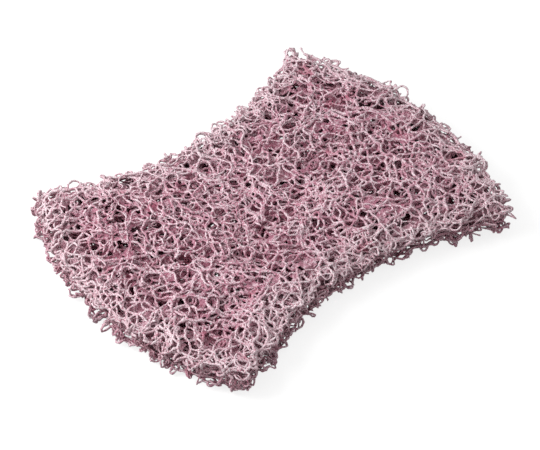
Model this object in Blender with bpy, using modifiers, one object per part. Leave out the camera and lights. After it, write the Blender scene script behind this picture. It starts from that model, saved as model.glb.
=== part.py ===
"""An open-web scouring pad: curly fibres bonded into one springy mat, waisted along both long
sides and bowed at both ends.

The pad is one piece. Its dense middle is a wavy mat with irregular gaps, and the outer fibres
stand on both faces and round the rim as ridges, loops and cut ends. All of it is fused into one
closed body, and both faces are pressed flat. Sizes are in metres, with +X along the pad, +Y
across it and +Z up through its thickness. The origin is the centre of the underside.
"""

import math
import random

import bmesh
import bpy

# Outline of the pad, seen from above
PAD_LENGTH = 0.127
CORNER_SPAN = 0.1015
END_WIDTH = 0.097
WAIST_WIDTH = 0.070
THICKNESS = 0.012

# Fibres on both faces, drawn as strands that wander between two heights
STRAND_DIAMETER = 0.0020
STRAND_STEP = 0.0034
STRAND_STEPS = 18
FACE_STRANDS = 54
FACE_DEPTH = 0.0032
PRESSED_DEPTH = 0.0004
BEND = 0.34
BEND_MEMORY = 0.6
CLIMB = 0.30
CLIMB_MEMORY = 0.5
TURN_BACK_SPREAD = 1.0

# Fibres that loop in and out, and up and down, along the rim
RIM_STRANDS = 9
RIM_STRAND_SHARE = 0.13
RIM_STRAND_STEPS = 26
RIM_LOOP_DEPTH = 0.0042
RIM_TURN_MIN = 0.5
RIM_TURN_MAX = 1.3

# Cut ends that stand out of the rim
WHISKERS = 36
WHISKER_DIAMETER = 0.0018
WHISKER_REACH = 0.0022
WHISKER_LEAN = 0.6

# Dense middle
MAT_THICKNESS = 0.0068
MAT_INSET_MIN = 0.0004
MAT_INSET_MAX = 0.0018
MAT_EDGE_POINTS = 120
MAT_WAVE = 0.0020
MAT_WAVE_LENGTH = 0.0085
GAPS = 108
GAP_TRIES = 6000
GAP_WIDTH_MIN = 0.0034
GAP_WIDTH_MAX = 0.0060
GAP_SPACING = 0.0066
GAP_CORNERS = 7
GAP_CORNER_SWAY = 0.2
GAP_CORNER_REACH_MIN = 0.8
GAP_CORNER_REACH_MAX = 1.15

# Fineness of the fused body
MAT_VOXEL = 0.0010
FUSED_VOXEL = 0.00085
RELAX = 0.5
TRIANGLES = 8600
MERGE_DISTANCE = 0.000002
CLOSING_PASSES = 10
SHARP_ANGLE = 50
SEED = 28

WEB_COLOUR = (0.33, 0.15, 0.18, 1.0)
WEB_ROUGHNESS = 0.85

HALF_SPAN = CORNER_SPAN / 2
HALF_END = END_WIDTH / 2
WAIST_DEPTH = (END_WIDTH - WAIST_WIDTH) / 2
END_BOW = (PAD_LENGTH - CORNER_SPAN) / 2
LOW_LAYER = STRAND_DIAMETER / 2 - PRESSED_DEPTH
HIGH_LAYER = THICKNESS - LOW_LAYER


def clear_scene():
    for obj in list(bpy.data.objects):
        bpy.data.objects.remove(obj)


def half_width(x):
    """Half the pad's width at x: the long sides are hollow curves."""
    share = min(abs(x) / HALF_SPAN, 1.0)
    return HALF_END - WAIST_DEPTH * (1 - share**2)


def half_length(y):
    """Half the pad's length at y: the ends are bowed out."""
    share = min(abs(y) / HALF_END, 1.0)
    return HALF_SPAN + END_BOW * (1 - share**2)


def room(x, y):
    """Least distance along X or Y from a point to the outline, negative outside it."""
    return min(half_width(x) - abs(y), half_length(y) - abs(x))


def rim_point(share, inset):
    """A point of the outline moved in by inset, and the direction that points out there.

    The point goes round once as share goes from 0 to 1.
    """
    side, along = divmod(share % 1.0 * 4, 1.0)
    t = 2 * along - 1
    sign = 1 if side < 2 else -1
    if side % 2 == 0:
        x, y = half_length(t * HALF_END), t * HALF_END
        out = (1.0, 2 * END_BOW * t / HALF_END)
    else:
        x, y = -t * HALF_SPAN, half_width(t * HALF_SPAN)
        out = (2 * WAIST_DEPTH * t / HALF_SPAN, 1.0)
    size = math.hypot(*out)
    out_x, out_y = sign * out[0] / size, sign * out[1] / size
    return sign * x - inset * out_x, sign * y - inset * out_y, out_x, out_y


def random_place(rng, inset):
    """A random point of the pad that lies inset or more from its outline."""
    while True:
        x = rng.uniform(-PAD_LENGTH, PAD_LENGTH) / 2
        y = rng.uniform(-END_WIDTH, END_WIDTH) / 2
        if room(x, y) > inset:
            return x, y


def wander(rng, start, low, high):
    """Points of a crimped fibre that lies between two heights and turns back at the outline."""
    x, y, z = start
    heading = rng.uniform(0, math.tau)
    bend = climb = 0.0
    points = [start]
    for _ in range(STRAND_STEPS):
        bend = BEND_MEMORY * bend + rng.gauss(0, BEND)
        climb = CLIMB_MEMORY * climb + rng.gauss(0, CLIMB)
        heading += bend
        ahead_x = x + STRAND_STEP * math.cos(heading)
        ahead_y = y + STRAND_STEP * math.sin(heading)
        if room(ahead_x, ahead_y) < STRAND_DIAMETER:
            heading = math.atan2(-y, -x) + rng.uniform(-TURN_BACK_SPREAD, TURN_BACK_SPREAD)
            ahead_x = x + STRAND_STEP * math.cos(heading)
            ahead_y = y + STRAND_STEP * math.sin(heading)
        x, y = ahead_x, ahead_y
        z = min(max(z + climb * STRAND_STEP, low), high)
        points.append((x, y, z))
    return points


def face_strands(rng, low, high):
    """Fibres that lie on one face. The first starts at the pad's centre."""
    starts = [(0.0, 0.0)] + [random_place(rng, STRAND_DIAMETER) for _ in range(FACE_STRANDS - 1)]
    return [wander(rng, (x, y, rng.choice((low, high))), low, high) for x, y in starts]


def rim_strands(rng):
    """Fibres that loop along the rim, each starting where the one before has gone part way."""
    strands = []
    for number in range(RIM_STRANDS):
        in_out = rng.uniform(0, math.tau)
        up_down = rng.uniform(0, math.tau)
        points = []
        for step in range(RIM_STRAND_STEPS):
            share = number / RIM_STRANDS + RIM_STRAND_SHARE * step / RIM_STRAND_STEPS
            in_out += rng.uniform(RIM_TURN_MIN, RIM_TURN_MAX)
            up_down += rng.uniform(RIM_TURN_MIN, RIM_TURN_MAX)
            inset = STRAND_DIAMETER / 2 + RIM_LOOP_DEPTH * (1 + math.sin(in_out)) / 2
            x, y, _, _ = rim_point(share, inset)
            z = LOW_LAYER + (HIGH_LAYER - LOW_LAYER) * (1 + math.sin(up_down)) / 2
            points.append((x, y, z))
        strands.append(points)
    return strands


def whiskers(rng):
    """Cut ends of fibres that stand out of the rim, each bent once."""
    strands = []
    for number in range(WHISKERS):
        x, y, out_x, out_y = rim_point((number + rng.random()) / WHISKERS, RIM_LOOP_DEPTH)
        lean = rng.uniform(-WHISKER_LEAN, WHISKER_LEAN)
        reach = RIM_LOOP_DEPTH + rng.random() * WHISKER_REACH
        z = rng.uniform(LOW_LAYER, HIGH_LAYER)
        points = [(x, y, z)]
        for bend in (0.0, lean):
            x += reach / 2 * (out_x * math.cos(bend) - out_y * math.sin(bend))
            y += reach / 2 * (out_x * math.sin(bend) + out_y * math.cos(bend))
            points.append((x, y, z))
        strands.append(points)
    return strands


def gap_places(rng):
    """Centres of the gaps, spread so that a strip of mat stays between them."""
    places = []
    for _ in range(GAP_TRIES):
        x, y = random_place(rng, MAT_INSET_MAX + GAP_WIDTH_MAX)
        if all(math.hypot(x - a, y - b) > GAP_SPACING for a, b in places):
            places.append((x, y))
        if len(places) == GAPS:
            break
    return places


def gap_outline(rng, x, y):
    """An irregular ring of points round a gap's centre."""
    width = rng.uniform(GAP_WIDTH_MIN, GAP_WIDTH_MAX)
    points = []
    for corner in range(GAP_CORNERS):
        angle = math.tau * (corner + rng.uniform(-GAP_CORNER_SWAY, GAP_CORNER_SWAY)) / GAP_CORNERS
        reach = width / 2 * rng.uniform(GAP_CORNER_REACH_MIN, GAP_CORNER_REACH_MAX)
        points.append((x + reach * math.cos(angle), y + reach * math.sin(angle), 0.0))
    return points


def mat_outline(rng):
    """The mat's ragged edge, just inside the outline."""
    points = []
    for number in range(MAT_EDGE_POINTS):
        x, y, _, _ = rim_point(number / MAT_EDGE_POINTS, rng.uniform(MAT_INSET_MIN, MAT_INSET_MAX))
        points.append((x, y, 0.0))
    return points


def add_spline(curve, points, closed):
    line = curve.splines.new("POLY")
    line.points.add(len(points) - 1)
    for point, place in zip(line.points, points):
        point.co = (*place, 1.0)
    line.use_cyclic_u = closed


def link(name, data):
    obj = bpy.data.objects.new(name, data)
    bpy.context.scene.collection.objects.link(obj)
    return obj


def taken_mesh(obj):
    """The mesh that an object evaluates to. The object itself is removed."""
    bpy.context.view_layer.update()
    graph = bpy.context.evaluated_depsgraph_get()
    mesh = bpy.data.meshes.new_from_object(obj.evaluated_get(graph))
    bpy.data.objects.remove(obj)
    return mesh


def strand_mesh(strands, diameter):
    """Round strands with capped ends."""
    curve = bpy.data.curves.new("strands", "CURVE")
    curve.dimensions = "3D"
    curve.bevel_depth = diameter / 2
    curve.bevel_resolution = 1
    curve.use_fill_caps = True
    for points in strands:
        add_spline(curve, points, closed=False)
    return taken_mesh(link("strands", curve))


def mat_mesh(rng):
    """The dense middle: a flat outline with gaps, given its thickness and then its waves."""
    curve = bpy.data.curves.new("mat", "CURVE")
    curve.dimensions = "2D"
    curve.fill_mode = "BOTH"
    curve.extrude = MAT_THICKNESS / 2
    add_spline(curve, mat_outline(rng), closed=True)
    for x, y in gap_places(rng):
        add_spline(curve, gap_outline(rng, x, y), closed=True)
    obj = link("mat", taken_mesh(link("mat", curve)))
    even = obj.modifiers.new("even", "REMESH")
    even.mode = "VOXEL"
    even.voxel_size = MAT_VOXEL
    clouds = bpy.data.textures.new("waves", "CLOUDS")
    clouds.noise_scale = MAT_WAVE_LENGTH
    wave = obj.modifiers.new("wave", "DISPLACE")
    wave.texture = clouds
    wave.texture_coords = "LOCAL"
    wave.direction = "Z"
    wave.strength = 2 * MAT_WAVE
    mesh = taken_mesh(obj)
    for vert in mesh.vertices:
        vert.co.z += THICKNESS / 2
    return mesh


def joined(meshes):
    bm = bmesh.new()
    for mesh in meshes:
        bm.from_mesh(mesh)
    whole = bpy.data.meshes.new("joined")
    bm.to_mesh(whole)
    bm.free()
    return whole


def keep_largest(bm):
    """Deletes all but the largest group of faces that meet along edges."""
    left = set(bm.faces)
    groups = []
    while left:
        group = [left.pop()]
        for face in group:
            beside = {other for edge in face.edges for other in edge.link_faces} & left
            left -= beside
            group.extend(beside)
        groups.append(group)
    for speck in sorted(groups, key=len)[:-1]:
        bmesh.ops.delete(bm, geom=speck, context="FACES")


def fused(mesh):
    """One skin round all that overlaps, without the specks that are sealed inside it."""
    obj = link("fused", mesh)
    fuse = obj.modifiers.new("fuse", "REMESH")
    fuse.mode = "VOXEL"
    fuse.voxel_size = FUSED_VOXEL
    skin = taken_mesh(obj)
    bm = bmesh.new()
    bm.from_mesh(skin)
    keep_largest(bm)
    bm.to_mesh(skin)
    bm.free()
    return skin


def coarsened(mesh):
    """The skin with its steps evened out, in about TRIANGLES facets."""
    obj = link("coarse", mesh)
    relax = obj.modifiers.new("relax", "SMOOTH")
    relax.factor = RELAX
    coarsen = obj.modifiers.new("coarsen", "DECIMATE")
    coarsen.ratio = TRIANGLES / sum(len(face.vertices) - 2 for face in mesh.polygons)
    return taken_mesh(obj)


def press_block(cutters):
    """A block whose underside and top are the planes that press the pad."""
    mesh = bpy.data.meshes.new("press_block")
    bm = bmesh.new()
    bmesh.ops.create_cube(bm, size=1.0)
    for vert in bm.verts:
        vert.co.x *= 2 * PAD_LENGTH
        vert.co.y *= 2 * END_WIDTH
        vert.co.z = (vert.co.z + 0.5) * THICKNESS
    bm.to_mesh(mesh)
    bm.free()
    block = bpy.data.objects.new("press_block", mesh)
    block.hide_render = True
    block.display_type = "WIRE"
    cutters.objects.link(block)
    return block


def pressed(mesh, cutters):
    """The skin cut flat at both faces."""
    obj = link("pressed", mesh)
    press = obj.modifiers.new("press", "BOOLEAN")
    press.operation = "INTERSECT"
    press.object = press_block(cutters)
    press.solver = "MANIFOLD"
    return taken_mesh(obj)


def close_up(mesh):
    """Closes up each edge at which the skin touches itself, and drops what came loose."""
    bm = bmesh.new()
    bm.from_mesh(mesh)
    bmesh.ops.remove_doubles(bm, verts=bm.verts, dist=MERGE_DISTANCE)
    for _ in range(CLOSING_PASSES):
        pinched = [edge for edge in bm.edges if len(edge.link_faces) != 2]
        bmesh.ops.collapse(bm, edges=pinched)
    keep_largest(bm)
    bm.to_mesh(mesh)
    bm.free()


def web_material():
    material = bpy.data.materials.new("fibre_web")
    material.use_nodes = True
    shader = material.node_tree.nodes["Principled BSDF"]
    shader.inputs["Base Color"].default_value = WEB_COLOUR
    shader.inputs["Roughness"].default_value = WEB_ROUGHNESS
    shader.inputs["Metallic"].default_value = 0.0
    material.diffuse_color = WEB_COLOUR
    return material


def new_collection(name):
    collection = bpy.data.collections.new(name)
    bpy.context.scene.collection.children.link(collection)
    return collection


def main():
    clear_scene()
    rng = random.Random(SEED)
    strands = face_strands(rng, LOW_LAYER, FACE_DEPTH - LOW_LAYER)
    strands += face_strands(rng, THICKNESS - FACE_DEPTH + LOW_LAYER, HIGH_LAYER)
    strands += rim_strands(rng)
    shapes = [
        strand_mesh(strands, STRAND_DIAMETER),
        strand_mesh(whiskers(rng), WHISKER_DIAMETER),
        mat_mesh(rng),
    ]
    web = pressed(coarsened(fused(joined(shapes))), new_collection("cutters"))
    close_up(web)
    web.materials.clear()
    web.materials.append(web_material())
    web.shade_smooth()
    web.set_sharp_from_angle(angle=math.radians(SHARP_ANGLE))
    new_collection("scouring pad").objects.link(bpy.data.objects.new("scouring_pad", web))


main()
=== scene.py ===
"""Dresses the scouring pad as the open web that it really is.

Crimped fibres wander through the pad's thickness, part round open cells, bond where they meet and
end in cuts at the waisted outline. Resin films close some of the cells, a skin of resin mats the
thick parts of the web, and mineral grit sits on the outer fibres. Sizes are in metres, in the
frame of the solid model.
"""

import logging
import math
from dataclasses import dataclass, field
from enum import Enum

import bmesh
import bpy
import numpy as np
from bpy.types import Material, Mesh, NodeSocket as Socket, Object
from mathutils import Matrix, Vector, kdtree
from mathutils.bvhtree import BVHTree
from numpy.random import Generator


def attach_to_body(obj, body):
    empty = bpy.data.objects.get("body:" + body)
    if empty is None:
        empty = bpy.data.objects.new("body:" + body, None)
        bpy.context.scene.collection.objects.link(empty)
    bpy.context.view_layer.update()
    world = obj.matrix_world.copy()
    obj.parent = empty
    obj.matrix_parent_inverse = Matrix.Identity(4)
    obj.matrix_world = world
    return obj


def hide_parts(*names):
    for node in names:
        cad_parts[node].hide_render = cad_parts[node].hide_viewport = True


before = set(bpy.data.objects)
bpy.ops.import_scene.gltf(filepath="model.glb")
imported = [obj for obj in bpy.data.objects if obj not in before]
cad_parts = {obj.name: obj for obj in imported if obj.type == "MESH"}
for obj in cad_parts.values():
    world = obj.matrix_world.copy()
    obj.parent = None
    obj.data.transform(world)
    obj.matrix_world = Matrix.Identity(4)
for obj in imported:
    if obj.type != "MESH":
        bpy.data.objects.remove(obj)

PAD_NODE = "scouring_pad"
PAD_BODY = "root"
SEED = 20

Array = np.ndarray
Colour = tuple[float, float, float]

log = logging.getLogger("scouring_pad")


class Finish(Enum):
    """The finishes of the pad's pieces, by the name of each one's material."""

    FIBRE = "fibre_web"
    FILM = "resin_film"
    GRIT = "mineral_grit"


class Detail(Enum):
    """How finely a band of the web is modelled."""

    SHOWN = "every point"
    HIDDEN = "every other point"


def swell(points: Array, length: float, turn: Array, phase: Array) -> Array:
    """The mean of level waves of one length at each point, which cross at several angles."""
    across = math.tau / length * points[..., :2] @ np.array([np.cos(turn), np.sin(turn)])
    return np.sin(across + phase).mean(-1)


@dataclass(frozen=True)
class PadOutline:
    """The cut outline, seen from above: hollow long sides and bowed ends."""

    length: float = 0.127
    corner_span: float = 0.1015
    end_width: float = 0.097
    waist_width: float = 0.070
    thickness: float = 0.012
    corner_radius: float = 0.0014
    rim_width: float = 0.012
    rim_rise: float = 1.2
    rim_start: float = 0.1

    def half_width(self, x: Array) -> Array:
        """Half the width of the pad at x."""
        share = np.minimum(np.abs(x) / (self.corner_span / 2), 1.0)
        return self.end_width / 2 - (self.end_width - self.waist_width) / 2 * (1 - share**2)

    def half_length(self, y: Array) -> Array:
        """Half the length of the pad at y."""
        share = np.minimum(np.abs(y) / (self.end_width / 2), 1.0)
        return self.corner_span / 2 + (self.length - self.corner_span) / 2 * (1 - share**2)

    def room(self, points: Array) -> Array:
        """Distance from points to the outline.

        Args:
            points: An array whose last axis is x, y, z.

        Returns:
            The least distance along X or Y, less at the blunt corners, negative outside.
        """
        x, y = points[..., 0], points[..., 1]
        aside = self.half_width(x) - np.abs(y)
        ahead = self.half_length(y) - np.abs(x)
        lack = np.hypot(*np.maximum(self.corner_radius - np.stack([aside, ahead]), 0))
        beyond = np.maximum(np.minimum(aside, ahead) - self.corner_radius, 0)
        return self.corner_radius - lack + beyond

    def mark(self, mesh: Mesh) -> None:
        """Notes on each vertex how near the upper rim it lies, for the light painted there.

        Args:
            mesh: The mesh, which gets the attribute "rim": 1 at the upper rim, 0 inside.
        """
        flat = np.empty(3 * len(mesh.vertices), np.float32)
        mesh.vertices.foreach_get("co", flat)
        places = flat.reshape(-1, 3)
        outer = np.clip(1 - self.room(places) / self.rim_width, 0, 1)
        upper = np.clip(self.rim_rise * places[:, 2] / self.thickness - self.rim_start, 0, 1)
        near = mesh.attributes.new("rim", "FLOAT", "POINT")
        near.data.foreach_set("value", outer * upper)


@dataclass
class Strands:
    """Fibres as rows of points, all with the same number of steps."""

    points: Array
    radius: Array
    tint: Array

    @property
    def flat(self) -> Array:
        """Every point of every fibre, one row each."""
        return self.points.reshape(-1, 3)

    def shift(self, moves: Array, ease: float) -> None:
        """Moves every point, then eases the inner ones towards the middle of their neighbours.

        Args:
            moves: The move of each point, one row each.
            ease: The share of the way to the middle.
        """
        self.points = (self.flat + moves).reshape(self.points.shape)
        middle = (self.points[:, :-2] + self.points[:, 2:]) / 2
        self.points[:, 1:-1] += ease * (middle - self.points[:, 1:-1])


@dataclass
class FibreLevels:
    """How crimped fibres lie in the sheet that the pad is cut from, level over level."""

    outline: PadOutline
    fibres: tuple[int, ...] = (270, 250, 230, 220, 220, 230, 260, 290, 310, 320)
    steps: int = 60
    step: float = 0.00070
    margin: float = 0.003
    bend: float = 0.030
    bend_memory: float = 0.90
    crimp: float = 0.75
    crimp_memory: float = 0.72
    drift: float = 0.00014
    drift_memory: float = 0.94
    radius: float = 0.00032
    radius_spread: float = 0.00009
    dent: float = 0.0009
    dent_length: float = 0.021
    dent_waves: int = 5
    dent_share: float = 0.5
    rolled_edge: float = 0.006
    rolled_top: float = 0.22
    rolled_underside: float = 0.10

    def lay(self, rng: Generator) -> Strands:
        """Lays the fibres.

        Args:
            rng: The random numbers.

        Returns:
            The fibres, not yet parted, bonded or cut.
        """
        count = sum(self.fibres)
        half = np.array([self.outline.length, self.outline.end_width]) / 2 + self.margin
        levels = (np.arange(len(self.fibres)) + 0.5) / len(self.fibres) * self.outline.thickness
        level = np.repeat(levels, self.fibres)
        place = rng.uniform(-half, half, (count, 2))
        heading = rng.uniform(0, math.tau, count)
        turn = rng.normal(0, self.bend, count)
        crimp = rng.normal(0, self.crimp, count)
        height = rng.normal(0, self.drift / math.sqrt(1 - self.drift_memory**2), count)
        crimp_change = self.crimp * math.sqrt(1 - self.crimp_memory**2)
        rows = []
        for _ in range(self.steps + 1):
            rows.append(np.column_stack([place, level + height]))
            turn = self.bend_memory * turn + rng.normal(0, self.bend, count)
            heading += turn
            crimp = self.crimp_memory * crimp + rng.normal(0, crimp_change, count)
            height = self.drift_memory * height + rng.normal(0, self.drift, count)
            way = np.column_stack([np.cos(heading + crimp), np.sin(heading + crimp)])
            place = place + self.step * way
        radius = self.radius + rng.uniform(-1, 1, count) * self.radius_spread
        return Strands(
            points=np.stack(rows, 1),
            radius=np.repeat(radius[:, None], self.steps + 1, 1),
            tint=rng.random(count),
        )

    def press(self, strands: Strands, rng: Generator) -> None:
        """Dents the top, rolls the edges in and keeps every fibre inside the pad's thickness.

        Args:
            strands: The fibres, moved in place.
            rng: The random numbers.
        """
        thickness = self.outline.thickness
        turn, phase = rng.uniform(0, math.tau, (self.dent_waves, 2)).T
        wave = swell(strands.points, self.dent_length, turn, phase) + self.dent_share
        height = strands.points[..., 2] * (1 - self.dent / thickness * np.clip(wave, 0, 1))
        middle = thickness / 2
        near_rim = 1 - np.clip(self.outline.room(strands.points) / self.rolled_edge, 0, 1)
        rolled = np.where(height > middle, self.rolled_top, self.rolled_underside) * near_rim**2
        height = middle + (height - middle) * (1 - rolled)
        strands.points[..., 2] = np.clip(height, strands.radius, thickness - strands.radius)


@dataclass
class OpenCells:
    """Round voids on a jittered lattice, which the fibres part round."""

    spacing: tuple[float, float, float] = (0.0038, 0.0038, 0.0030)
    jitter: float = 0.42
    border: float = 0.004
    smallest: float = 0.0009
    largest: float = 0.0023
    share_in_solid: float = 0.55
    flatness: float = 1.15
    strength: float = 0.85
    passes: int = 4
    ease: float = 0.22
    centres: Array = field(default_factory=lambda: np.empty((0, 3)))
    radii: Array = field(default_factory=lambda: np.empty(0))
    held: Array = field(default_factory=lambda: np.empty(0, bool))

    def part(self, strands: Strands, form: "SolidForm", rng: Generator) -> None:
        """Sets the voids, smaller ones where the solid is, and moves the fibres out of them.

        Args:
            strands: The fibres, moved in place.
            form: The solid.
            rng: The random numbers.
        """
        low = strands.flat.min(0) - self.border
        count = np.ceil((strands.flat.max(0) + self.border - low) / self.spacing).astype(int)
        grid = np.stack(np.meshgrid(*[np.arange(n) for n in count], indexing="ij"), -1)
        sway = rng.uniform(-self.jitter, self.jitter, grid.shape)
        centres = low + (grid + 0.5 + sway) * self.spacing
        radii = rng.uniform(self.smallest, self.largest, grid.shape[:3])
        self.centres = centres.reshape(-1, 3)
        self.held = form.holds(self.centres)
        radii *= np.where(self.held, self.share_in_solid, 1.0).reshape(radii.shape)
        self.radii = radii.ravel()
        offsets = [(i, j, k) for i in (-1, 0, 1) for j in (-1, 0, 1) for k in (-1, 0, 1)]
        for _ in range(self.passes):
            points = strands.flat
            cell = ((points - low) / self.spacing).astype(int)
            depth = np.zeros(len(points))
            away = np.zeros_like(points)
            for offset in offsets:
                index = tuple(np.clip(cell + offset, 0, count - 1).T)
                out = points - centres[index]
                out[:, 2] *= self.flatness
                distance = np.linalg.norm(out, axis=1) + 1e-9
                inside = radii[index] - distance
                deeper = inside > depth
                depth[deeper] = inside[deeper]
                away[deeper] = out[deeper] / distance[deeper, None]
            strands.shift(away * (depth * self.strength)[:, None], self.ease)


@dataclass
class SolidForm:
    """The ridges, hollows and gaps of the pad's solid, which the web keeps."""

    node: str = PAD_NODE
    slack: float = 0.0003
    reach: float = 0.006
    pull: float = 0.80
    furthest: float = 0.0028
    ease: float = 0.1

    def search(self) -> BVHTree:
        """A search tree over the solid's faces."""
        mesh = bpy.data.objects[self.node].data
        faces = [face.vertices for face in mesh.polygons]
        return BVHTree.FromPolygons([vertex.co for vertex in mesh.vertices], faces)

    def holds(self, points: Array) -> Array:
        """Tests which points lie in the solid.

        Args:
            points: One row for each point.

        Returns:
            True for each point in the solid.
        """
        tree = self.search()
        found = []
        for point in points:
            near, normal, _, _ = tree.find_nearest(point)
            found.append((Vector(point) - near).dot(normal) < 0)
        return np.array(found)

    def gather(self, strands: Strands) -> None:
        """Draws the fibres that run clear of the solid towards it.

        Args:
            strands: The fibres, moved in place.
        """
        tree = self.search()
        points = strands.flat
        moves = np.zeros_like(points)
        for number, point in enumerate(points):
            near, normal, _, distance = tree.find_nearest(point, self.reach)
            if near is None or distance <= self.slack or (Vector(point) - near).dot(normal) <= 0:
                continue
            share = min(self.pull * (distance - self.slack), self.furthest) / distance
            moves[number] = share * (np.array(near) - point)
        strands.shift(moves, self.ease)


@dataclass
class Bonds:
    """Where two fibres pass close by, resin draws them together and thickens both."""

    reach: float = 0.00105
    draw: float = 0.40
    thicken: float = 0.30
    ease: float = 0.15

    def set(self, strands: Strands) -> None:
        """Draws near fibres together.

        Args:
            strands: The fibres, moved and thickened in place.
        """
        points = strands.flat
        owner = np.repeat(np.arange(len(strands.points)), strands.points.shape[1])
        tree = point_tree(points)
        moves = np.zeros_like(points)
        swollen = np.zeros(len(points))
        for number, point in enumerate(points):
            for place, other, distance in tree.find_range(point, self.reach):
                if owner[other] != owner[number]:
                    moves[number] = self.draw * (np.array(place) - point)
                    swollen[number] = 1 - distance / self.reach
                    break
        strands.radius *= 1 + self.thicken * swollen.reshape(strands.radius.shape)
        strands.shift(moves, self.ease)


def point_tree(points: Array) -> kdtree.KDTree:
    """Sorts points for a search by distance.

    Args:
        points: One row for each point.

    Returns:
        A search tree that knows each point by its row.
    """
    tree = kdtree.KDTree(len(points))
    for number, point in enumerate(points):
        tree.insert(point, number)
    tree.balance()
    return tree


@dataclass(frozen=True)
class Run:
    """A stretch of one fibre between two cuts."""

    points: Array
    radius: Array
    tint: float

    def coarser(self) -> "Run":
        """The same stretch with every other point, and both of its ends."""
        last = len(self.points) - 1
        kept = np.unique(np.append(np.arange(0, last + 1, 2), last))
        return Run(self.points[kept], self.radius[kept], self.tint)


class NodeTree:
    """Adds nodes to a tree with their inputs set or linked in one call."""

    def __init__(self, tree: bpy.types.NodeTree) -> None:
        """Takes the tree that nodes are added to."""
        self.tree = tree

    def add(self, kind: str, inputs: dict | None = None, **settings: object) -> bpy.types.Node:
        """Adds one node.

        Args:
            kind: The node's type name.
            inputs: What goes into its sockets, by name or number: a value or another's output.
            settings: Properties of the node itself.

        Returns:
            The new node.
        """
        node = self.tree.nodes.new(kind)
        for name, value in settings.items():
            setattr(node, name, value)
        for key, value in (inputs or {}).items():
            if isinstance(value, Socket):
                self.tree.links.new(value, node.inputs[key])
            else:
                node.inputs[key].default_value = value
        return node

    def maths(self, operation: str, *values: object) -> Socket:
        """The result of a sum on values or outputs."""
        return self.add("ShaderNodeMath", dict(enumerate(values)), operation=operation).outputs[0]

    def noise(self, place: Socket, scale: object, detail: float = 2.0) -> Socket:
        """Soft noise round one half, over the places given."""
        inputs = {"Vector": place, "Scale": scale, "Detail": detail}
        return self.add("ShaderNodeTexNoise", inputs).outputs["Fac"]

    def ramp(
        self, value: Socket, start: float = 0, end: float = 1, low: float = 0, high: float = 1
    ) -> Socket:
        """Turns a value between start and end into one between low and high."""
        inputs = {"Value": value, "From Min": start, "From Max": end, "To Min": low, "To Max": high}
        return self.add("ShaderNodeMapRange", inputs).outputs["Result"]

    def mix(self, share: Socket, first: Socket | Colour, second: Socket | Colour) -> Socket:
        """Mixes two colours, with more of the second as the share grows."""
        ends = [end if isinstance(end, Socket) else (*end, 1.0) for end in (first, second)]
        inputs = {"Factor": share, 6: ends[0], 7: ends[1]}
        return self.add("ShaderNodeMix", inputs, data_type="RGBA").outputs[2]

    def attribute(self, name: str) -> Socket:
        """A number that the mesh carries on its points."""
        return self.add("ShaderNodeAttribute", attribute_name=name).outputs["Fac"]


class GeometryTree(NodeTree):
    """A geometry node tree with named inputs, which ends in real geometry with its finish."""

    def __init__(self, name: str, inputs: dict[str, str], output: str) -> None:
        """Starts the tree.

        Args:
            name: The tree's name.
            inputs: The kind of each input, by its name.
            output: The name of what comes out.
        """
        super().__init__(bpy.data.node_groups.new(name, "GeometryNodeTree"))
        face = self.tree.interface
        for socket, kind in inputs.items():
            face.new_socket(socket, in_out="INPUT", socket_type="NodeSocket" + kind)
        face.new_socket(output, in_out="OUTPUT", socket_type="NodeSocketGeometry")
        self.given = self.add("NodeGroupInput").outputs

    def close(self, geometry: Socket) -> bpy.types.NodeTree:
        """Ends the tree.

        Args:
            geometry: What comes out, before its finish.

        Returns:
            The whole tree.
        """
        real = self.add("GeometryNodeRealizeInstances", {"Geometry": geometry}).outputs[0]
        inputs = {"Geometry": real, "Material": self.given["Finish"]}
        dressed = self.add("GeometryNodeSetMaterial", inputs).outputs[0]
        self.add("NodeGroupOutput", {0: dressed})
        return self.tree


def new_finish(name: str) -> tuple[Material, NodeTree, bpy.types.Node]:
    """Starts a material, and gives it with its tree and its shader."""
    made = bpy.data.materials.new(name)
    made.use_nodes = True
    return made, NodeTree(made.node_tree), made.node_tree.nodes["Principled BSDF"]


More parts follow.
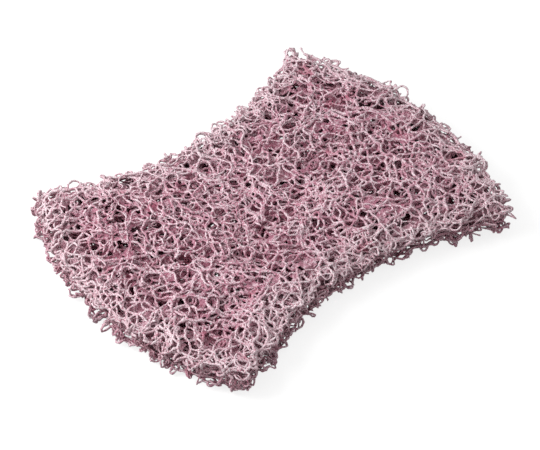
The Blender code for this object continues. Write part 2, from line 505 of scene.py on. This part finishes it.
@dataclass(frozen=True)
class CoatedFibre:
    """Pink resin with pale grit in it, less grit towards the middle of the web; painted shade in
    dark rose there and in the grain's hollows, painted light at the upper rim.
    """

    finish: Finish = Finish.FIBRE
    pale: Colour = (0.84, 0.68, 0.73)
    pink: Colour = (0.56, 0.312, 0.383)
    # Painted shade: the dark rose painted towards the middle of the web's thickness and into the
    # hollows of the grain.
    painted_shade_rose: Colour = (0.38, 0.085, 0.15)
    crimson: Colour = (0.42, 0.07, 0.14)
    # Painted light: the pale colour painted at the upper rim, and its share.
    painted_rim_light: Colour = (0.90, 0.80, 0.825)
    painted_rim_light_share: float = 0.72
    roughness: float = 0.72
    half_thickness: float = 0.006
    # Painted shade towards the middle of the thickness: full within the first distance from the
    # middle, gone beyond the second.
    painted_shade_within: float = 0.0006
    pink_beyond: float = 0.0048
    grit_scale: float = 3200.0
    patch_scale: float = 700.0
    tint_weight: float = 0.16
    grit_range: tuple[float, float] = (1.03, 1.15)
    least_grit: float = 0.25
    # Painted shade in the hollows of the grain's bump: where it starts and ends on the grain, and
    # its share.
    painted_pit_shade_range: tuple[float, float] = (0.48, 0.40)
    painted_pit_shade_share: float = 0.90
    stain_scale: float = 170.0
    stain_range: tuple[float, float] = (0.64, 0.74)
    stain_share: float = 0.55
    relief: float = 0.00014
    relief_strength: float = 0.8

    def material(self) -> Material:
        """Builds the material.

        Returns:
            The new material, which reads "tint" and "rim" from the points.
        """
        made, bench, shader = new_finish(self.finish.value)
        place = bench.add("ShaderNodeTexCoord").outputs["Object"]
        height = bench.add("ShaderNodeSeparateXYZ", {0: place}).outputs["Z"]
        off_middle = bench.maths("ABSOLUTE", bench.maths("SUBTRACT", height, self.half_thickness))
        # Distance from the middle of the thickness, which sets the painted shade and how much grit
        # there is.
        outside = bench.ramp(off_middle, self.painted_shade_within, self.pink_beyond)
        grain = bench.noise(place, self.grit_scale)
        speckle = bench.maths("ADD", grain, bench.noise(place, self.patch_scale))
        tinted = bench.maths("MULTIPLY_ADD", bench.attribute("tint"), self.tint_weight, speckle)
        kept = bench.ramp(outside, low=self.least_grit)
        gritty = bench.maths("MULTIPLY", bench.ramp(tinted, *self.grit_range), kept)
        # Painted light: paler towards the upper rim.
        painted_rim_light = bench.maths("MULTIPLY", bench.attribute("rim"), self.painted_rim_light_share)
        # Painted shade: the low points of the grain, which the bump makes hollows, get the dark
        # rose.
        painted_pit_shade = bench.ramp(grain, *self.painted_pit_shade_range, high=self.painted_pit_shade_share)
        blotch = bench.noise(place, self.stain_scale, 1.0)
        stains = bench.ramp(blotch, *self.stain_range, high=self.stain_share)
        # Painted shade: dark rose towards the middle of the thickness, pink further out; the
        # thinner grit there is the real part.
        colour = bench.mix(outside, self.painted_shade_rose, self.pink)
        colour = bench.mix(gritty, colour, self.pale)
        colour = bench.mix(painted_rim_light, colour, self.painted_rim_light)
        colour = bench.mix(painted_pit_shade, colour, self.painted_shade_rose)
        colour = bench.mix(stains, colour, self.crimson)
        inputs = {"Height": grain, "Strength": self.relief_strength, "Distance": self.relief}
        bump = bench.add("ShaderNodeBump", inputs).outputs["Normal"]
        bench.tree.links.new(colour, shader.inputs["Base Color"])
        bench.tree.links.new(bump, shader.inputs["Normal"])
        shader.inputs["Roughness"].default_value = self.roughness
        return made


@dataclass(frozen=True)
class DriedResin(CoatedFibre):
    """Resin that dried in thin skins: redder than the fibres, uneven, and with less painted light
    at the upper rim.
    """

    finish: Finish = Finish.FILM
    pale: Colour = (0.74, 0.54, 0.60)
    pink: Colour = (0.48, 0.20, 0.275)
    # Painted shade of the films, darker than that of the fibres.
    painted_shade_rose: Colour = (0.26, 0.055, 0.10)
    # Less painted light at the upper rim.
    painted_rim_light_share: float = 0.35
    roughness: float = 0.7
    relief: float = 0.0004


@dataclass(frozen=True)
class PaleMineral:
    """Chalky grains, some of them grey."""

    finish: Finish = Finish.GRIT
    pale: Colour = (0.84, 0.72, 0.74)
    grey: Colour = (0.40, 0.30, 0.31)
    patch_scale: float = 900.0
    pale_range: tuple[float, float] = (0.40, 0.60)
    roughness: float = 0.8

    def material(self) -> Material:
        """Builds the material.

        Returns:
            The new material.
        """
        made, bench, shader = new_finish(self.finish.value)
        place = bench.add("ShaderNodeTexCoord").outputs["Object"]
        share = bench.ramp(bench.noise(place, self.patch_scale), *self.pale_range)
        colour = bench.mix(share, self.grey, self.pale)
        bench.tree.links.new(colour, shader.inputs["Base Color"])
        shader.inputs["Roughness"].default_value = self.roughness
        return made


@dataclass
class FibreTubes:
    """Geometry nodes that turn centre lines into rough round fibres."""

    sides: int = 4
    hidden_sides: int = 3
    lump_height: float = 0.00076
    lump_scale: float = 1500.0

    def tree(self) -> bpy.types.NodeTree:
        """Builds the node tree, with its sizes as named inputs.

        Returns:
            The tree, which takes edges whose points carry "thick", half the fibre's thickness.
        """
        kinds = {"Lines": "Geometry", "Sides": "Int", "Lump Height": "Float", "Lump Scale": "Float"}
        bench = GeometryTree("fibre_tubes", kinds | {"Finish": "Material"}, "Fibres")
        given = bench.given
        curve = bench.add("GeometryNodeMeshToCurve", {"Mesh": given["Lines"]}).outputs["Curve"]
        inputs = {"Resolution": given["Sides"], "Radius": 1.0}
        ring = bench.add("GeometryNodeCurvePrimitiveCircle", inputs).outputs["Curve"]
        inputs = {"Name": "thick"}
        thick = bench.add("GeometryNodeInputNamedAttribute", inputs, data_type="FLOAT").outputs[0]
        inputs = {"Curve": curve, "Profile Curve": ring, "Scale": thick, "Fill Caps": True}
        tube = bench.add("GeometryNodeCurveToMesh", inputs).outputs["Mesh"]
        spot = bench.add("GeometryNodeInputPosition").outputs[0]
        level = bench.maths("SUBTRACT", bench.noise(spot, given["Lump Scale"], 1.0), 0.5)
        lift = bench.maths("MULTIPLY", level, given["Lump Height"])
        normal = bench.add("GeometryNodeInputNormal").outputs["Normal"]
        push = bench.add("ShaderNodeVectorMath", {0: normal, "Scale": lift}, operation="SCALE")
        inputs = {"Geometry": tube, "Offset": push.outputs[0]}
        rough = bench.add("GeometryNodeSetPosition", inputs).outputs[0]
        return bench.close(bench.add("GeometryNodeSetShadeSmooth", {"Geometry": rough}).outputs[0])


def plain_copy(name: str, mesh: Mesh, kind: str, settings: dict[str, object]) -> Object:
    """Runs one modifier on a mesh and keeps the plain mesh that it makes.

    Args:
        name: The new object's name.
        mesh: What the modifier works on, deleted afterwards.
        kind: The modifier's type.
        settings: The modifier's properties, or for geometry nodes the tree and its named inputs.

    Returns:
        A new object at the origin with no modifier.
    """
    source = bpy.data.objects.new(name + "_source", mesh)
    bpy.context.scene.collection.objects.link(source)
    modifier = source.modifiers.new(name, kind)
    if kind == "NODES":
        modifier.node_group = settings["tree"]
        for item in modifier.node_group.interface.items_tree:
            if item.item_type == "SOCKET" and item.in_out == "INPUT" and item.name in settings:
                modifier[item.identifier] = settings[item.name]
    else:
        for setting, value in settings.items():
            setattr(modifier, setting, value)
    bpy.context.view_layer.update()
    graph = bpy.context.evaluated_depsgraph_get()
    made = bpy.data.meshes.new_from_object(source.evaluated_get(graph))
    bpy.data.objects.remove(source)
    bpy.data.meshes.remove(mesh)
    made.name = name
    piece = bpy.data.objects.new(name, made)
    bpy.context.scene.collection.objects.link(piece)
    return piece


def line_mesh(name: str, runs: list[Run]) -> Mesh:
    """Makes bare edges along each run.

    Args:
        name: The mesh's name.
        runs: The stretches of fibre.

    Returns:
        The mesh, with the attributes "thick" and "tint" on its points.
    """
    mesh = bpy.data.meshes.new(name)
    points = np.concatenate([run.points for run in runs])
    sizes = np.array([len(run.points) for run in runs])
    starts = np.cumsum(sizes) - sizes
    spans = zip(starts, sizes)
    first = np.concatenate([np.arange(start, start + size - 1) for start, size in spans])
    mesh.vertices.add(len(points))
    mesh.vertices.foreach_set("co", points.ravel())
    mesh.edges.add(len(first))
    mesh.edges.foreach_set("vertices", np.stack([first, first + 1], 1).ravel())
    thick = mesh.attributes.new("thick", "FLOAT", "POINT")
    thick.data.foreach_set("value", np.concatenate([run.radius for run in runs]))
    tint = mesh.attributes.new("tint", "FLOAT", "POINT")
    tint.data.foreach_set("value", np.repeat([run.tint for run in runs], sizes))
    return mesh


@dataclass
class CutRim:
    """Where the blade cut the web: short stubs, and fibres that turn back as loops."""

    outline: PadOutline
    outset: float = 0.0006
    bays: float = 0.0014
    bay_length: float = 0.007
    bay_waves: int = 6
    stub: float = 0.0020
    stub_rarity: int = 4
    shortest: int = 2
    longest_step: float = 0.0016
    seat_reach: float = 0.0014
    probe: float = 0.0005
    looped: float = 0.85
    loop_band: float = 0.0024
    loop_reach: float = 0.0050
    loop_gap: float = 0.0018
    loop_out: tuple[float, float] = (0.22, 0.55)
    loop_sway: float = 0.0006
    loop_points: int = 9
    loop_radius: tuple[float, float] = (0.00028, 0.00040)

    def bay_depth(self, points: Array, rng: Generator) -> Array:
        """How far inside the outline the web ends near each point, negative beyond it."""
        turn, phase = rng.uniform(0, math.tau, (2, self.bay_waves))
        return self.bays * swell(points, self.bay_length, turn, phase) - self.outset

    def outwards(self, points: Array) -> Array:
        """Finds the level direction that leads out of the pad.

        Args:
            points: One row for each point.

        Returns:
            A unit vector for each point.
        """
        here = self.outline.room(points)
        probes = self.probe * np.array([(1, 0, 0), (0, 1, 0)])
        slope = [here - self.outline.room(points + probe) for probe in probes]
        out = np.stack([*slope, np.zeros(len(points))], -1)
        return out / np.maximum(np.linalg.norm(out, axis=1), 1e-9)[:, None]

    def cut(self, strands: Strands, rng: Generator) -> list[Run]:
        """Cuts the fibres at the outline, and where they were drawn too far apart.

        Args:
            strands: The fibres, parted and bonded.
            rng: The random numbers.

        Returns:
            What is left of each fibre, then the loops of the rim.
        """
        room = self.outline.room(strands.points) - self.bay_depth(strands.points, rng)
        reach = rng.random(len(room)) ** self.stub_rarity * self.stub
        steps = np.linalg.norm(np.diff(strands.points, axis=1), axis=2)
        length = np.cumsum(np.pad(steps > self.longest_step, ((0, 0), (1, 0))), axis=1) + 1
        part = np.where(room > -reach[:, None], length, 0)
        runs = []
        for number, row in enumerate(np.pad(part, ((0, 0), (1, 1)))):
            points, radius = strands.points[number], strands.radius[number]
            edges = np.flatnonzero(np.diff(row))
            for start, end in zip(edges[:-1], edges[1:]):
                if end - start > self.shortest and part[number, start]:
                    runs.append(Run(points[start:end], radius[start:end], strands.tint[number]))
        return self.seated(runs) + self.loops(runs, rng)

    def seated(self, runs: list[Run]) -> list[Run]:
        """Leads each end inside the web to the nearest other fibre.

        Args:
            runs: The cut fibres.

        Returns:
            The same runs, longer by a point at each end that found a seat.
        """
        points = np.concatenate([run.points for run in runs])
        owner = np.repeat(np.arange(len(runs)), [len(run.points) for run in runs])
        tree = point_tree(points)
        made = []
        for number, run in enumerate(runs):
            seats = []
            for end in (run.points[0], run.points[-1]):
                inside = self.outline.room(end) >= self.stub
                near = tree.find_range(end, self.seat_reach) if inside else []
                seats.append([np.array(place) for place, at, _ in near if owner[at] != number][:1])
            before, after = seats
            line = np.stack([*before, *run.points, *after])
            made.append(Run(line, np.pad(run.radius, (len(before), len(after)), "edge"), run.tint))
        return made

    def loops(self, runs: list[Run], rng: Generator) -> list[Run]:
        """Joins cut ends that lie side by side with a strand that bows out of the rim.

        Args:
            runs: The cut fibres.
            rng: The random numbers.

        Returns:
            The loops.
        """
        ends = np.array([run.points[end] for run in runs for end in (0, -1)])
        at_rim = self.outline.room(ends) < self.loop_band
        ends = ends[at_rim & (rng.random(len(ends)) < self.looped)]
        tree = point_tree(ends)
        outwards = self.outwards(ends)
        turn = np.linspace(0, math.pi, self.loop_points)[:, None]
        share = (1 - np.cos(turn)) / 2
        free = np.ones(len(ends), bool)
        made = []
        for number, end in enumerate(ends):
            if not free[number]:
                continue
            near = [(at, gap) for _, at, gap in tree.find_range(end, self.loop_reach) if free[at]]
            other = next((at for at, gap in near if at != number and gap > self.loop_gap), None)
            if other is None:
                continue
            free[[number, other]] = False
            span = np.linalg.norm(ends[other] - end)
            bow = outwards[number] * span * rng.uniform(*self.loop_out)
            bow[2] = rng.normal(0, self.loop_sway)
            line = end * (1 - share) + ends[other] * share + bow * np.sin(turn)
            radius = np.full(self.loop_points, rng.uniform(*self.loop_radius))
            made.append(Run(line, radius, rng.random()))
        return made


@dataclass
class FreeEnds:
    """Short cut fibre ends that stand up out of the top of the web."""

    outline: PadOutline
    count: int = 500
    steps: int = 4
    step: float = 0.0006
    depth: float = 0.0030
    rise: float = 0.22
    sway: float = 0.6
    radius: float = 0.00025
    taper: tuple[float, float] = (1.1, 0.8)

    def grow(self, runs: list[Run], rng: Generator) -> list[Run]:
        """Grows the ends out of the fibres near the top.

        Args:
            runs: The fibres of the web.
            rng: The random numbers.

        Returns:
            The ends, each from a point of a fibre.
        """
        points = np.concatenate([run.points for run in runs])
        high = points[:, 2] > self.outline.thickness - self.depth
        near_top = points[high & (self.outline.room(points) > self.steps * self.step)]
        made = []
        for start in near_top[rng.choice(len(near_top), self.count, replace=False)]:
            line = [start]
            heading = rng.uniform(0, math.tau)
            for _ in range(self.steps):
                heading += rng.normal(0, self.sway)
                way = (math.cos(heading), math.sin(heading), rng.normal(self.rise, self.rise))
                line.append(line[-1] + self.step * np.array(way))
            line = np.array(line)
            line[:, 2] = np.minimum(line[:, 2], self.outline.thickness - self.radius)
            made.append(Run(line, np.linspace(*self.taper, len(line)) * self.radius, rng.random()))
        return made


@dataclass(frozen=True)
class Band:
    """One piece of the web: it reaches up to a share of the fibre, from the underside."""

    name: str
    upto: float
    detail: Detail


@dataclass
class FibreWeb:
    """The pad's web, cut to its outline and dressed level by level."""

    outline: PadOutline
    cells: OpenCells
    form: SolidForm
    bonds: Bonds
    tubes: FibreTubes
    clear: float = 0.0002
    bands: tuple[Band, ...] = (
        Band("web_underside", 0.16, Detail.SHOWN),
        Band("web_lower", 0.32, Detail.HIDDEN),
        Band("web_core_lower", 0.47, Detail.HIDDEN),
        Band("web_core_upper", 0.62, Detail.HIDDEN),
        Band("web_upper", 0.75, Detail.SHOWN),
        Band("web_face", 0.875, Detail.SHOWN),
        Band("web_top", 1.0, Detail.SHOWN),
    )

    def grow(self, rng: Generator) -> list[Run]:
        """Grows the fibres and cuts them at the outline.

        Args:
            rng: The random numbers.

        Returns:
            What is left of each fibre, the rim's loops and the free ends.
        """
        levels = FibreLevels(self.outline)
        strands = levels.lay(rng)
        self.cells.part(strands, self.form, rng)
        levels.press(strands, rng)
        self.form.gather(strands)
        self.bonds.set(strands)
        runs = CutRim(self.outline).cut(strands, rng)
        runs += FreeEnds(self.outline).grow(runs, rng)
        for run in runs:
            low, high = run.radius + self.clear, self.outline.thickness - run.radius
            run.points[:, 2] = np.clip(run.points[:, 2], low, high)
        return runs

    def pieces(self, runs: list[Run], finish: Material) -> list[Object]:
        """Makes one piece for each band of the web.

        Args:
            runs: The fibres of the web.
            finish: Their material.

        Returns:
            The pieces, from the underside up.
        """
        runs = sorted(runs, key=lambda run: run.points[:, 2].mean())
        points = np.cumsum([len(run.points) for run in runs])
        cuts = np.searchsorted(points / points[-1], [band.upto for band in self.bands])
        settings = {
            "tree": self.tubes.tree(),
            "Lump Height": self.tubes.lump_height,
            "Lump Scale": self.tubes.lump_scale,
            "Finish": finish,
        }
        made = []
        start = 0
        for band, end in zip(self.bands, cuts):
            here = runs[start : end + 1]
            start = end + 1
            sides = self.tubes.sides
            if band.detail is Detail.HIDDEN:
                here = [run.coarser() for run in here]
                sides = self.tubes.hidden_sides
            lines = line_mesh(band.name, here)
            self.outline.mark(lines)
            made.append(plain_copy(band.name, lines, "NODES", settings | {"Sides": sides}))
        log.info("%d runs with %d points", len(runs), points[-1])
        return made


@dataclass
class MineralGrit:
    """Geometry nodes that set angular grains on the outer fibres."""

    density: float = 220000.0
    smallest: float = 0.00009
    largest: float = 0.00018
    sides: int = 4
    rings: int = 2
    seed: int = 4

    def tree(self) -> bpy.types.NodeTree:
        """Builds the node tree, with its sizes as named inputs.

        Returns:
            The tree, which takes fibres and gives the grains alone.
        """
        sizes = dict.fromkeys(("Density", "Smallest", "Largest"), "Float")
        kinds = {"Fibres": "Geometry"} | sizes | {"Seed": "Int", "Finish": "Material"}
        bench = GeometryTree("mineral_grit", kinds, "Grit")
        given = bench.given
        inputs = {"Mesh": given["Fibres"], "Density": given["Density"], "Seed": given["Seed"]}
        spots = bench.add("GeometryNodeDistributePointsOnFaces", inputs).outputs["Points"]
        inputs = {"Segments": self.sides, "Rings": self.rings, "Radius": 1.0}
        grain = bench.add("GeometryNodeMeshUVSphere", inputs).outputs["Mesh"]
        inputs = {2: given["Smallest"], 3: given["Largest"], "Seed": given["Seed"]}
        size = bench.add("FunctionNodeRandomValue", inputs).outputs[1]
        full = {1: (math.tau, math.tau, math.tau)}
        turn = bench.add("FunctionNodeRandomValue", full, data_type="FLOAT_VECTOR").outputs["Value"]
        inputs = {"Points": spots, "Instance": grain, "Rotation": turn, "Scale": size}
        return bench.close(bench.add("GeometryNodeInstanceOnPoints", inputs).outputs[0])

    def pieces(self, webs: dict[str, Object], finish: Material) -> list[Object]:
        """Sets the grains on some pieces of the web.

        Args:
            webs: The piece of the web that carries the grains, by the name of the new piece.
            finish: The grains' material.

        Returns:
            One piece of grains for each piece of the web.
        """
        settings = {
            "tree": self.tree(),
            "Density": self.density,
            "Smallest": self.smallest,
            "Largest": self.largest,
            "Seed": self.seed,
            "Finish": finish,
        }
        return [plain_copy(name, web.data.copy(), "NODES", settings) for name, web in webs.items()]


@dataclass
class ResinFilms:
    """Resin that dried across cells of the web, whole or with a hole torn in it."""

    outline: PadOutline
    share_top: float = 0.70
    share_inside: float = 0.35
    top_depth: float = 0.0042
    border: float = 0.001
    torn: float = 0.35
    tear: tuple[float, float] = (0.15, 0.75)
    sectors: int = 9
    least_found: float = 0.6
    nearest: float = 0.0004
    reach: float = 0.0030
    tilt: float = 0.35
    off_plane: float = 0.0011
    thickness: float = 0.00012

    def places(self, cells: OpenCells, rng: Generator) -> Array:
        """Picks the cells that get a film, all of them in the solid.

        Args:
            cells: The voids of the web.
            rng: The random numbers.

        Returns:
            The centre of each cell.
        """
        height = cells.centres[:, 2]
        inside = (height > self.border) & (height < self.outline.thickness - self.border)
        inside &= self.outline.room(cells.centres) > self.border
        centres = cells.centres[inside & cells.held]
        at_top = centres[:, 2] > self.outline.thickness - self.top_depth
        share = np.where(at_top, self.share_top, self.share_inside)
        return centres[rng.random(len(centres)) < share]

    def ring(
        self, centre: Array, tree: kdtree.KDTree, rng: Generator
    ) -> tuple[list[Array], Array] | None:
        """Finds the fibres that hold one film.

        Args:
            centre: The centre of the cell.
            tree: The points of the fibres.
            rng: The random numbers.

        Returns:
            The film's edge and its middle, or nothing where too few fibres are near.
        """
        normal = Vector((*rng.normal(0, self.tilt, 2), 1.0)).normalized()
        side = normal.orthogonal().normalized()
        near = np.array([place for place, _, _ in tree.find_range(centre, self.reach)])
        if len(near) < self.sectors:
            return None
        axes = (side, normal.cross(side), normal)
        u, v, w = ((near - centre) @ np.array(axis) for axis in axes)
        span = np.hypot(u, v)
        sector = ((np.arctan2(v, u) + math.pi) / math.tau * self.sectors).astype(int) % self.sectors
        usable = (np.abs(w) < self.off_plane) & (span > self.nearest)
        edge = []
        for number in range(self.sectors):
            here = np.flatnonzero(usable & (sector == number))
            edge.append(near[here[span[here].argmin()]] if len(here) else None)
        found = [place for place in edge if place is not None]
        if len(found) < self.sectors * self.least_found:
            return None
        middle = np.mean(found, 0)
        return [place if place is not None else middle for place in edge], middle

    def piece(self, runs: list[Run], cells: OpenCells, rng: Generator, finish: Material) -> Object:
        """Spans the films.

        Args:
            runs: The fibres that hold the films.
            cells: The voids that the films close.
            rng: The random numbers.
            finish: The films' material.

        Returns:
            One piece with every film.
        """
        tree = point_tree(np.concatenate([run.points for run in runs]))
        pairs = [(number, (number + 1) % self.sectors) for number in range(self.sectors)]
        corners, faces = [], []
        for centre in self.places(cells, rng):
            held = self.ring(centre, tree, rng)
            if held is None:
                continue
            edge, middle = held
            start = len(corners)
            if rng.random() < self.torn:
                inner = start + self.sectors
                corners += edge
                corners += [place + (middle - place) * rng.uniform(*self.tear) for place in edge]
                faces += [(start + a, start + b, inner + b, inner + a) for a, b in pairs]
            else:
                corners += [middle, *edge]
                faces += [(start, start + 1 + a, start + 1 + b) for a, b in pairs]
        mesh = bpy.data.meshes.new("resin_films")
        mesh.from_pydata([tuple(corner) for corner in corners], [], faces)
        self.outline.mark(mesh)
        mesh.materials.append(finish)
        wall = {"thickness": self.thickness, "offset": 0.0}
        return plain_copy("resin_films", mesh, "SOLIDIFY", wall)


@dataclass
class ResinMatting:
    """Resin and short fibre that mat the thick parts of the web just under its surface.

    It follows the solid, and the open cells go through it.
    """

    outline: PadOutline
    form: SolidForm
    cell: float = 0.0011
    depth: float = 0.0013
    least_depth: float = 0.0009
    unevenness: float = 0.00018
    sway: float = 0.00016
    opening: float = 1.15
    thickness: float = 0.00014

    def piece(self, cells: OpenCells, rng: Generator, finish: Material) -> Object:
        """Builds the matting.

        Args:
            cells: The voids that open it.
            rng: The random numbers.
            finish: Its material.

        Returns:
            One thin-walled piece.
        """
        skin = self.even_skin()
        for vertex in skin.verts:
            vertex.co -= vertex.normal * (self.depth + rng.normal(0, self.unevenness))
            vertex.co += Vector(rng.normal(0, self.sway, 3))
        self.open(skin, cells)
        mesh = bpy.data.meshes.new("resin_matting")
        skin.to_mesh(mesh)
        skin.free()
        self.outline.mark(mesh)
        mesh.materials.append(finish)
        wall = {"thickness": self.thickness, "offset": 0.0}
        return plain_copy("resin_matting", mesh, "SOLIDIFY", wall)

    def even_skin(self) -> bmesh.types.BMesh:
        """Takes the solid's skin in faces of about one size.

        Returns:
            The skin, which the caller frees.
        """
        solid = bpy.data.objects[self.form.node].data.copy()
        even = plain_copy("skin", solid, "REMESH", {"mode": "VOXEL", "voxel_size": self.cell})
        skin = bmesh.new()
        skin.from_mesh(even.data)
        skin.normal_update()
        bpy.data.meshes.remove(even.data)
        return skin

    def open(self, skin: bmesh.types.BMesh, cells: OpenCells) -> None:
        """Takes out what lies in a cell, or too near the surface of the solid.

        Args:
            skin: The matting, changed in place.
            cells: The voids.
        """
        solid = self.form.search()
        tree = point_tree(cells.centres)
        reach = self.opening * cells.radii.max()
        for face in list(skin.faces):
            middle = face.calc_center_median()
            thin = solid.find_nearest(middle)[3] < self.least_depth
            near = tree.find_range(middle, reach)
            if thin or any(gap < self.opening * cells.radii[number] for _, number, gap in near):
                skin.faces.remove(face)
        loose = [vertex for vertex in skin.verts if not vertex.link_faces]
        bmesh.ops.delete(skin, geom=loose, context="VERTS")


@dataclass
class Studio:
    """Pale floor, soft lamps and the camera at the photograph's angle."""

    azimuth: float = -40.7
    elevation: float = 43.9
    distance: float = 0.715
    lens: float = 158.7
    sensor: float = 36.0
    nearest: float = 0.05
    aim: tuple[float, float, float] = (0.0002, 0.0005, -0.0004)
    key_level: float = 0.99
    key_direction: tuple[float, float, float] = (-0.85, 0.60, 0.85)
    key_distance: float = 0.45
    key_size: float = 0.3
    fill_level: float = 0.54
    floor_size: float = 3.0
    floor_drop: float = 0.00002
    floor_colour: Colour = (0.30, 0.30, 0.30)
    floor_roughness: float = 0.9
    floor_lift: float = 0.80

    def camera(self) -> None:
        """Adds the camera."""
        turn, rise = math.radians(self.azimuth), math.radians(self.elevation)
        level = math.cos(rise)
        back = Vector((math.sin(turn) * level, -math.cos(turn) * level, math.sin(rise)))
        data = bpy.data.cameras.new("camera")
        data.lens = self.lens
        data.sensor_width = self.sensor
        data.clip_start = self.nearest
        camera = bpy.data.objects.new("camera", data)
        camera.rotation_mode = "QUATERNION"
        camera.location = Vector(self.aim) + back * self.distance
        camera.rotation_quaternion = (-back).to_track_quat("-Z", "Y")
        bpy.context.scene.collection.objects.link(camera)
        bpy.context.scene.camera = camera

    def key_lamp(self) -> None:
        """Adds the key lamp, up and to the left behind the pad."""
        data = bpy.data.lights.new("key", "AREA")
        data.size = self.key_size
        data.energy = self.key_level * math.pi**2 * self.key_distance**2
        key = bpy.data.objects.new("key", data)
        towards = Vector(self.key_direction).normalized()
        key.location = towards * self.key_distance
        key.rotation_mode = "QUATERNION"
        key.rotation_quaternion = towards.to_track_quat("Z", "Y")
        bpy.context.scene.collection.objects.link(key)

    def sky(self) -> None:
        """Adds the even light from all round, which shows as plain white."""
        world = bpy.data.worlds.new("sky")
        world.use_nodes = True
        bpy.context.scene.world = world
        bench = NodeTree(world.node_tree)
        sky = world.node_tree.nodes["Background"]
        sky.inputs["Color"].default_value = (1.0, 1.0, 1.0, 1.0)
        strength = bench.ramp(self._seen(bench), low=self.fill_level)
        world.node_tree.links.new(strength, sky.inputs["Strength"])

    @staticmethod
    def _seen(bench: NodeTree) -> Socket:
        """One where the camera, a reflection or glass shows this surface."""
        path = bench.add("ShaderNodeLightPath").outputs
        shown = bench.maths("MAXIMUM", path["Is Camera Ray"], path["Is Glossy Ray"])
        return bench.maths("MAXIMUM", shown, path["Is Transmission Ray"])

    def floor(self) -> None:
        """Adds the pale floor, which keeps the pad's shadow."""
        place = (0, 0, -self.floor_drop)
        bpy.ops.mesh.primitive_plane_add(size=self.floor_size, location=place)
        floor = bpy.context.active_object
        floor.name = "floor"
        made, bench, shader = new_finish("floor")
        shader.inputs["Base Color"].default_value = (*self.floor_colour, 1.0)
        shader.inputs["Roughness"].default_value = self.floor_roughness
        shader.inputs["Specular IOR Level"].default_value = 0.0
        shader.inputs["Emission Color"].default_value = (1.0, 1.0, 1.0, 1.0)
        lift = bench.maths("MULTIPLY", self._seen(bench), self.floor_lift)
        bench.tree.links.new(lift, shader.inputs["Emission Strength"])
        floor.data.materials.append(made)

    def build(self) -> None:
        """Sets the whole studio up."""
        self.camera()
        self.key_lamp()
        self.sky()
        self.floor()
        bpy.context.scene.view_settings.view_transform = "Standard"


def attach(pieces: list[Object]) -> None:
    """Makes pieces ride on the pad's body, hides the pad's solid, and reports each one.

    Args:
        pieces: Finished pieces.
    """
    for piece in pieces:
        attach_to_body(piece, PAD_BODY)
        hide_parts(PAD_NODE)
        log.info("%s: %d faces", piece.name, len(piece.data.polygons))


def main() -> None:
    """Builds the studio, the web, its grit, its films and its matting, in that order."""
    logging.basicConfig(level=logging.INFO, format="%(message)s")
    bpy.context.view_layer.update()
    Studio().build()
    rng = np.random.default_rng(SEED)
    outline, cells, form = PadOutline(), OpenCells(), SolidForm()
    web = FibreWeb(outline, cells, form, Bonds(), FibreTubes())
    runs = web.grow(rng)
    fibres = web.pieces(runs, CoatedFibre().material())
    attach(fibres)
    outer = {"grit_underside": fibres[0], "grit_face": fibres[-2], "grit_top": fibres[-1]}
    attach(MineralGrit().pieces(outer, PaleMineral().material()))
    resin = DriedResin().material()
    attach([ResinFilms(outline).piece(runs, cells, rng, resin)])
    attach([ResinMatting(outline, form).piece(cells, rng, resin)])


if __name__ == "__main__":
    main()
